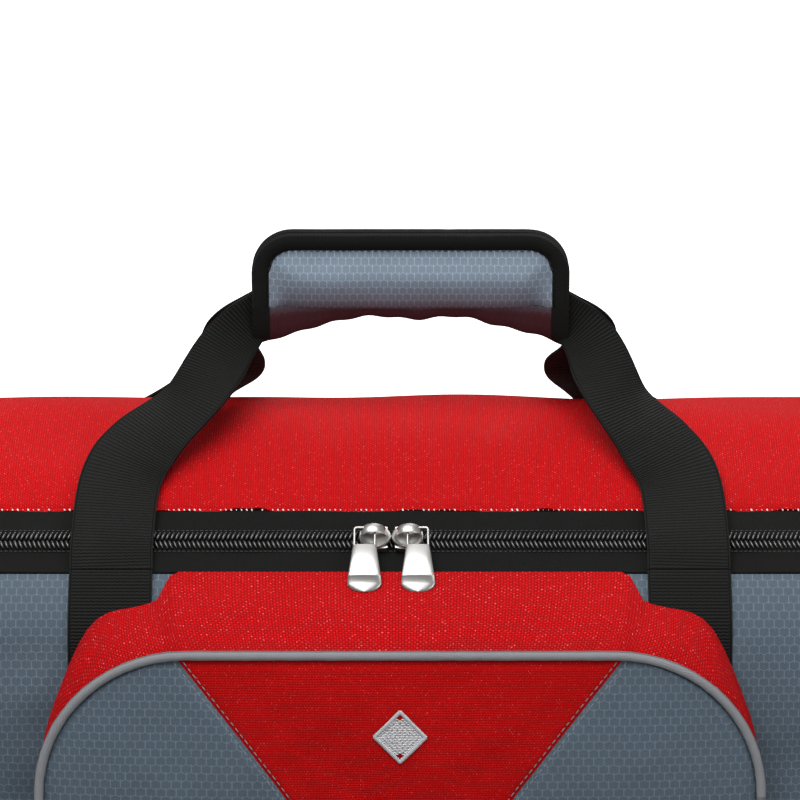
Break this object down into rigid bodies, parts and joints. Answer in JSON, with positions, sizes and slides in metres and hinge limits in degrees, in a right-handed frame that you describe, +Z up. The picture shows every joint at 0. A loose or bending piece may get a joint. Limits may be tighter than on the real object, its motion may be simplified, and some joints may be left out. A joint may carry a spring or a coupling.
{
  "type": "hockey equipment bag",
  "caption": "Soft barrel-topped sports bag with a zipped U-shaped lid, front bellows pocket, two webbing handles joined by a wrap grip, and end rings for a shoulder strap.",
  "frame": {"origin": "on the floor under the middle of the main body; the pocket makes the whole box reach further to the front", "axes": "+Z up, the front pocket faces -Y, +X to the right as seen from the front"},
  "size_m": [0.6154, 0.2692, 0.378],
  "materials": {
    "red_cloth": "plain-weave polyester, matt with a soft sheen",
    "slate_ripstop": "coated ripstop, matt",
    "black_cloth": "coated base cloth, matt",
    "webbing": "ribbed polypropylene webbing",
    "zip_tape": "woven zip tape, matt",
    "zip_coil": "nylon coil",
    "grey_piping": "cord piping",
    "grip_ripstop": "padded ripstop",
    "binding": "twill binding tape",
    "satin_nickel": "satin nickel",
    "base_board": "semi-rigid board",
    "silver_thread": "satin-stitch embroidery"
  },
  "bodies": {
    "bag": {"bottom_panel": "black_cloth", "base_board": "base_board", "front_panel": "slate_ripstop", "back_panel": "slate_ripstop", "end_panel_left": "slate_ripstop", "end_panel_right": "slate_ripstop", "top_end_left": "red_cloth", "top_end_right": "red_cloth", "end_piping_left": "grey_piping", "end_piping_right": "grey_piping", "zip_tape_body": "zip_tape", "zip_chain_body": "zip_coil", "pocket_gusset": "red_cloth", "pocket_face_centre": "red_cloth", "pocket_face_left": "slate_ripstop", "pocket_face_right": "slate_ripstop", "pocket_face_lower": "slate_ripstop", "pocket_piping": "grey_piping", "pocket_zip_tape": "zip_tape", "pocket_zip_chain": "zip_coil", "emblem": "silver_thread", "strap_run_front_left": "webbing", "strap_run_front_right": "webbing", "strap_run_back_left": "webbing", "strap_run_back_right": "webbing", "ring_tab_left": "webbing", "ring_tab_right": "webbing"},
    "lid": {"lid_panel": "red_cloth", "zip_tape_lid": "zip_tape", "zip_chain_lid": "zip_coil"},
    "front_handle": {"front_webbing": "webbing"},
    "back_handle": {"back_webbing": "webbing", "grip_wrap": "grip_ripstop", "grip_binding_back": "binding", "loop_strip": "binding"},
    "grip_flap_body": {"grip_flap": "grip_ripstop", "grip_binding_front": "binding", "hook_strip": "binding"},
    "slider_left_body": {"slider_left": "satin_nickel"},
    "slider_right_body": {"slider_right": "satin_nickel"},
    "pull_left_body": {"pull_left": "satin_nickel"},
    "pull_right_body": {"pull_right": "satin_nickel"},
    "pocket_slider_body": {"pocket_slider": "satin_nickel"},
    "pocket_pull_body": {"pocket_pull": "satin_nickel"},
    "ring_left_body": {"ring_left": "satin_nickel"},
    "ring_right_body": {"ring_right": "satin_nickel"}
  },
  "joints": [
    {"name": "lid_open", "type": "hinge", "parent": "bag", "child": "lid", "pos_m": [0, 0.10329, 0.23997], "axis": [-1, 0, 0], "range_deg": [0, 92], "deforming": ["zip_tape_lid", "zip_chain_lid"]},
    {"name": "front_handle_fall", "type": "hinge", "parent": "bag", "child": "front_handle", "pos_m": [0, -0.10382, 0.24084], "axis": [1, 0, 0], "range_deg": [0, 131.4], "deforming": ["front_webbing"]},
    {"name": "back_handle_fall", "type": "hinge", "parent": "bag", "child": "back_handle", "pos_m": [0, 0.10382, 0.24084], "axis": [-1, 0, 0], "range_deg": [0, 179.6], "deforming": ["back_webbing"]},
    {"name": "grip_flap_open", "type": "hinge", "parent": "back_handle", "child": "grip_flap_body", "pos_m": [0, -0.0116, 0.3415], "axis": [1, 0, 0], "range_deg": [0, 105]},
    {"name": "slider_left_slide", "type": "slide", "parent": "bag", "child": "slider_left_body", "axis": [-1, 0, 0], "range_m": [0, 0.162]},
    {"name": "slider_right_slide", "type": "slide", "parent": "bag", "child": "slider_right_body", "axis": [1, 0, 0], "range_m": [0, 0.162]},
    {"name": "pull_left_lift", "type": "hinge", "parent": "slider_left_body", "child": "pull_left_body", "pos_m": [-0.0162, -0.09414, 0.25575], "axis": [-1, 0, 0], "range_deg": [0, 21]},
    {"name": "pull_right_lift", "type": "hinge", "parent": "slider_right_body", "child": "pull_right_body", "pos_m": [0.0082, -0.09414, 0.25575], "axis": [-1, 0, 0], "range_deg": [0, 21]},
    {"name": "pocket_slider_slide", "type": "slide", "parent": "bag", "child": "pocket_slider_body", "axis": [1, 0, 0], "range_m": [0, 0.268]},
    {"name": "pocket_pull_lift", "type": "hinge", "parent": "pocket_slider_body", "child": "pocket_pull_body", "pos_m": [-0.138, -0.1464, 0.0835], "axis": [-1, 0, 0], "range_deg": [0, 21]},
    {"name": "ring_left_swing", "type": "hinge", "parent": "bag", "child": "ring_left_body", "pos_m": [-0.3035, 0, 0.24], "axis": [0, 1, 0], "range_deg": [0, 150]},
    {"name": "ring_right_swing", "type": "hinge", "parent": "bag", "child": "ring_right_body", "pos_m": [0.3035, 0, 0.24], "axis": [0, -1, 0], "range_deg": [0, 150]}
  ],
  "couplings": [
    {"joint": "front_handle_fall", "follows": "lid_open", "ratio": 1.4283},
    {"joint": "back_handle_fall", "follows": "lid_open", "ratio": 1.9522},
    {"joint": "grip_flap_open", "follows": "lid_open", "ratio": 1.1413},
    {"joint": "slider_left_slide", "follows": "lid_open", "m_per_rad": 0.10089},
    {"joint": "slider_right_slide", "follows": "lid_open", "m_per_rad": 0.10089}
  ]
}
